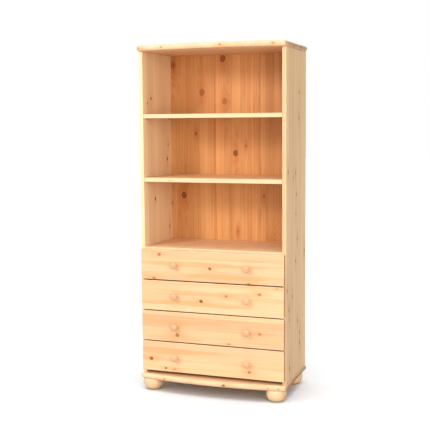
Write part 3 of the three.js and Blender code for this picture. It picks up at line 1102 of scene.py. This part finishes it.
class BOOKCASE_OT_drawers(BookcaseOperator, bpy.types.Operator):
    """Make each drawer's front, its box and its bottom"""

    bl_idname = "bookcase.drawers"
    bl_label = "Drawers"

    def execute(self, context):
        for number in DRAWERS:
            body = f"drawer_{number}"
            node = f"{body}_front"
            front = eased_board(f"{body}_front_board", *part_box(node), self.shape.front_ease, 6)
            finish_piece(front, pine("front pine"), body, [node])
            node = f"{body}_back"
            back = eased_board(f"{body}_back_board", *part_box(node), 0.001, 2)
            finish_piece(back, pine("drawer back pine"), body, [node])
            node = f"{body}_bottom"
            bottom = eased_board(f"{body}_bottom_sheet", *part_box(node), 0.0003, 1)
            finish_piece(bottom, pine("birch plywood"), body, [node])
            for side in SIDES:
                self.side_wall(body, side)
        return {"FINISHED"}

    def side_wall(self, body, side):
        """A drawer side with a groove outside for its runner and one inside for the bottom."""
        node = f"{body}_side_{side}"
        low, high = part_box(node)
        runner_low, runner_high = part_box(f"runner_{body[-1]}_{side}")
        bottom_low, bottom_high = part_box(f"{body}_bottom")
        inner, outer = (high.x, low.x) if side == "left" else (low.x, high.x)
        out = math.copysign(1, outer)
        runner_face = runner_high.x if side == "left" else runner_low.x
        groove = runner_face - out * RUNNER_CLEARANCE
        slot = math.copysign(bottom_high.x + 0.0003, out)
        section = [
            (inner, low.z),
            (outer, low.z),
            (outer, runner_low.z - 0.001),
            (groove, runner_low.z - 0.001),
            (groove, runner_high.z + RUNNER_CLEARANCE),
            (outer, runner_high.z + RUNNER_CLEARANCE),
            (outer, high.z),
            (inner, high.z),
            (inner, bottom_high.z + 0.0003),
            (slot, bottom_high.z + 0.0003),
            (slot, bottom_low.z - 0.0003),
            (inner, bottom_low.z - 0.0003),
        ]
        wall = prism_board(f"{node}_board", section, low.y, high.y, 0.0008)
        finish_piece(wall, pine("drawer side pine"), body, [node])


class BOOKCASE_OT_knobs(BookcaseOperator, bpy.types.Operator):
    """Turn the two knobs of each drawer"""

    bl_idname = "bookcase.knobs"
    bl_label = "Knobs"

    def profile(self, radius, reach):
        """Half the knob's section: a flared foot, a stem and a domed cap."""
        shape = self.shape
        stem = shape.knob_stem
        lip = 0.0012
        waist = reach - shape.knob_cap
        brim = shape.knob_cap * 0.4
        points = [(0.0, 0.0), (shape.knob_foot, 0.0)]
        for i in range(9):
            flare = math.sin(i / 8 * math.pi / 2)
            out = shape.knob_foot + (stem - shape.knob_foot) * flare
            points.append((out, lip + i / 8 * (waist - lip)))
        points += arc((stem, waist + brim), (radius - stem, brim), -math.pi / 2, 0, 10)[1:]
        points += arc((0.0, waist + brim), (radius, shape.knob_cap - brim), 0, math.pi / 2, 24)[1:]
        return points

    def execute(self, context):
        for number in DRAWERS:
            body = f"drawer_{number}"
            nodes = [f"{body}_knob_{side}" for side in SIDES]
            places = []
            for node in nodes:
                low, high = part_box(node)
                middle = (low + high) / 2
                places.append((middle.x, high.y, middle.z))
            profile = self.profile((high.x - low.x) / 2, high.y - low.y)
            wood = pine("turned knob pine")
            knobs = turned_pieces(f"{body}_knobs", profile, places, (math.pi / 2, 0, 0), wood)
            finish_piece(knobs, wood, body, nodes)
        return {"FINISHED"}


class BOOKCASE_OT_feet(BookcaseOperator, bpy.types.Operator):
    """Turn the four bun feet"""

    bl_idname = "bookcase.feet"
    bl_label = "Bun feet"

    def execute(self, context):
        shape = self.shape
        nodes = [f"foot_{end}_{side}" for end in ENDS for side in SIDES]
        low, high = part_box(nodes[0])
        height = high.z
        rest = shape.foot_flat
        belly = shape.foot_belly
        top = math.asin((height - belly) / belly)
        radius = (high.x - low.x) / 2
        bun = arc((rest, belly), (radius - rest, belly), -math.pi / 2, top, 36)
        profile = [(0.0, 0.0), *bun, (0.0, height)]
        places = [(centre_of(node).x, centre_of(node).y, 0.0) for node in nodes]
        feet = turned_pieces("bun_feet", profile, places, (0, 0, 0), pine("turned foot pine"))
        finish_piece(feet, pine("turned foot pine"), "carcass", nodes)
        return {"FINISHED"}


class BOOKCASE_OT_fittings(BookcaseOperator, bpy.types.Operator):
    """Make the shelf pins, and finish the studs and drawer runners"""

    bl_idname = "bookcase.fittings"
    bl_label = "Pins, studs and runners"

    def execute(self, context):
        for side in SIDES:
            nodes = [f"shelf_pin_{level}_{end}_{side}" for level in SHELVES for end in ENDS]
            low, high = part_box(nodes[0])
            span = high.x - low.x
            plug = 0.0088
            profile = [(0.0, 0.0), (0.0020, 0.0), (0.0025, 0.0005), (0.0025, plug)]
            profile += [(0.0040, plug + 0.0002)]
            profile += arc((0.0032, span - 0.0008), (0.0008, 0.0008), 0, math.pi / 2, 5)
            profile += [(0.0, span)]
            end = low.x if side == "left" else high.x
            places = [(end, centre_of(node).y, centre_of(node).z) for node in nodes]
            turn = (0, math.pi / 2 if side == "left" else -math.pi / 2, 0)
            pins = turned_pieces(f"shelf_pins_{side}", profile, places, turn, zinc())
            finish_piece(pins, zinc(), "carcass", nodes)
        for number in DRAWERS:
            for side in SIDES:
                node = f"runner_{number}_{side}"
                strip = eased_board(f"{node}_strip", *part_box(node), 0.001, 2)
                finish_piece(strip, pine("beech"), "carcass", [node])
        for end in ENDS:
            for side in SIDES:
                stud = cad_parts[f"foot_stud_{end}_{side}"]
                stud.data.materials.clear()
                stud.data.materials.append(zinc())
        return {"FINISHED"}


class BOOKCASE_OT_stage(BookcaseOperator, bpy.types.Operator):
    """Set the floor, the lights and the camera"""

    bl_idname = "bookcase.stage"
    bl_label = "Floor, lights and camera"

    def execute(self, context):
        scene = context.scene
        stage = scene.bookcase_stage
        scene.view_settings.view_transform = "Standard"
        floor = self.floor()
        self.surroundings(stage)
        self.overhead(stage.overhead)
        middle = Vector((0.0, 0.0, 0.9))
        key = self.soft_light("key_light", (-2.4, -4.4, 3.2), middle, 1.2, stage.key_power)
        fill = self.soft_light("fill_light", (2.6, -3.8, 1.7), middle, 3.0, stage.fill_power)
        self.keep_off(floor, key, fill)
        camera = bpy.data.cameras.new("studio_camera")
        camera.lens = stage.camera_lens
        camera.sensor_width = 36.0
        holder = new_object("studio_camera", camera)
        holder.location = stage.camera_place
        holder.rotation_euler = stage.camera_turn
        scene.camera = holder
        return {"FINISHED"}

    def floor(self):
        bm = bmesh.new()
        bmesh.ops.create_grid(bm, x_segments=1, y_segments=1, size=30.0)
        floor = new_object("floor", mesh_from(bm, "floor"))
        made = bpy.data.materials.new("pale floor")
        made.use_nodes = True
        w = Wiring(made.node_tree)
        shader = made.node_tree.nodes["Principled BSDF"]
        speckle = w.noise(w.node("ShaderNodeTexCoord").outputs["Object"], 180.0, 2.0).outputs[0]
        pale = w.blend(speckle, (0.91, 0.94, 0.97, 1.0), (0.94, 0.97, 1.0, 1.0))
        seen = w.node("ShaderNodeLightPath").outputs["Is Camera Ray"]
        w.feed(shader.inputs["Base Color"], w.blend(seen, (0.72, 0.72, 0.72, 1.0), pale))
        shader.inputs["Roughness"].default_value = 0.9
        floor.data.materials.append(made)
        return floor

    def surroundings(self, stage):
        world = bpy.data.worlds.new("white studio")
        world.use_nodes = True
        w = Wiring(world.node_tree)
        background = world.node_tree.nodes["Background"]
        background.inputs["Color"].default_value = (1.0, 1.0, 1.0, 1.0)
        seen = w.node("ShaderNodeLightPath").outputs["Is Camera Ray"]
        direction = w.node("ShaderNodeTexCoord").outputs["Generated"]
        behind = w.split(direction)[1]
        lit = w.ramp(behind, -0.6, 0.4, stage.sky_front, stage.sky_behind)
        unseen = w.math("SUBTRACT", 1.0, seen)
        w.feed(background.inputs["Strength"], w.math("MULTIPLY_ADD", lit, unseen, seen))
        bpy.context.scene.world = world

    def overhead(self, strength):
        light = bpy.data.lights.new("overhead_light", "SUN")
        light.energy = strength
        light.angle = math.radians(50.0)
        new_object("overhead_light", light)

    def soft_light(self, name, place, target, size, power):
        light = bpy.data.lights.new(name, "AREA")
        light.shape = "DISK"
        light.size = size
        light.energy = power
        holder = new_object(name, light)
        holder.location = place
        holder.rotation_euler = (target - Vector(place)).to_track_quat("-Z", "Y").to_euler()
        return holder

    def keep_off(self, floor, *lights):
        """Leaves the floor to the sky and the overhead light, so that only they throw shadows on it."""
        unlit = bpy.data.collections.new("not lit from the front")
        unlit.objects.link(floor)
        unlit.collection_objects[0].light_linking.link_state = "EXCLUDE"
        for light in lights:
            light.light_linking.receiver_collection = unlit


class BOOKCASE_PT_panel(bpy.types.Panel):
    """Lists the bookcase's operators and its sizes and colours"""

    bl_idname = "BOOKCASE_PT_panel"
    bl_label = "Pine bookcase"
    bl_space_type = "VIEW_3D"
    bl_region_type = "UI"
    bl_category = "Bookcase"

    def draw(self, context):
        layout = self.layout
        for operator in OPERATORS:
            layout.operator(operator.bl_idname)
        for settings in ("bookcase_shape", "bookcase_wood", "bookcase_stage"):
            group_box = layout.box()
            source = getattr(context.scene, settings)
            for key in source.bl_rna.properties.keys():
                if key not in ("rna_type", "name"):
                    group_box.prop(source, key)


OPERATORS = (
    BOOKCASE_OT_stage,
    BOOKCASE_OT_slabs,
    BOOKCASE_OT_sides,
    BOOKCASE_OT_back,
    BOOKCASE_OT_shelves,
    BOOKCASE_OT_drawers,
    BOOKCASE_OT_knobs,
    BOOKCASE_OT_feet,
    BOOKCASE_OT_fittings,
)
SETTINGS = {
    "bookcase_shape": BookcaseShape,
    "bookcase_wood": BookcaseWood,
    "bookcase_stage": BookcaseStage,
}


def register():
    for settings in SETTINGS.values():
        bpy.utils.register_class(settings)
    for operator in OPERATORS:
        bpy.utils.register_class(operator)
    bpy.utils.register_class(BOOKCASE_PT_panel)
    for name, settings in SETTINGS.items():
        setattr(bpy.types.Scene, name, bpy.props.PointerProperty(type=settings))


def unregister():
    for name in SETTINGS:
        delattr(bpy.types.Scene, name)
    bpy.utils.unregister_class(BOOKCASE_PT_panel)
    for operator in reversed(OPERATORS):
        bpy.utils.unregister_class(operator)
    for settings in reversed(SETTINGS.values()):
        bpy.utils.unregister_class(settings)


def main():
    register()
    for operator in OPERATORS:
        section, name = operator.bl_idname.split(".")
        getattr(getattr(bpy.ops, section), name)()


if __name__ == "__main__":
    main()
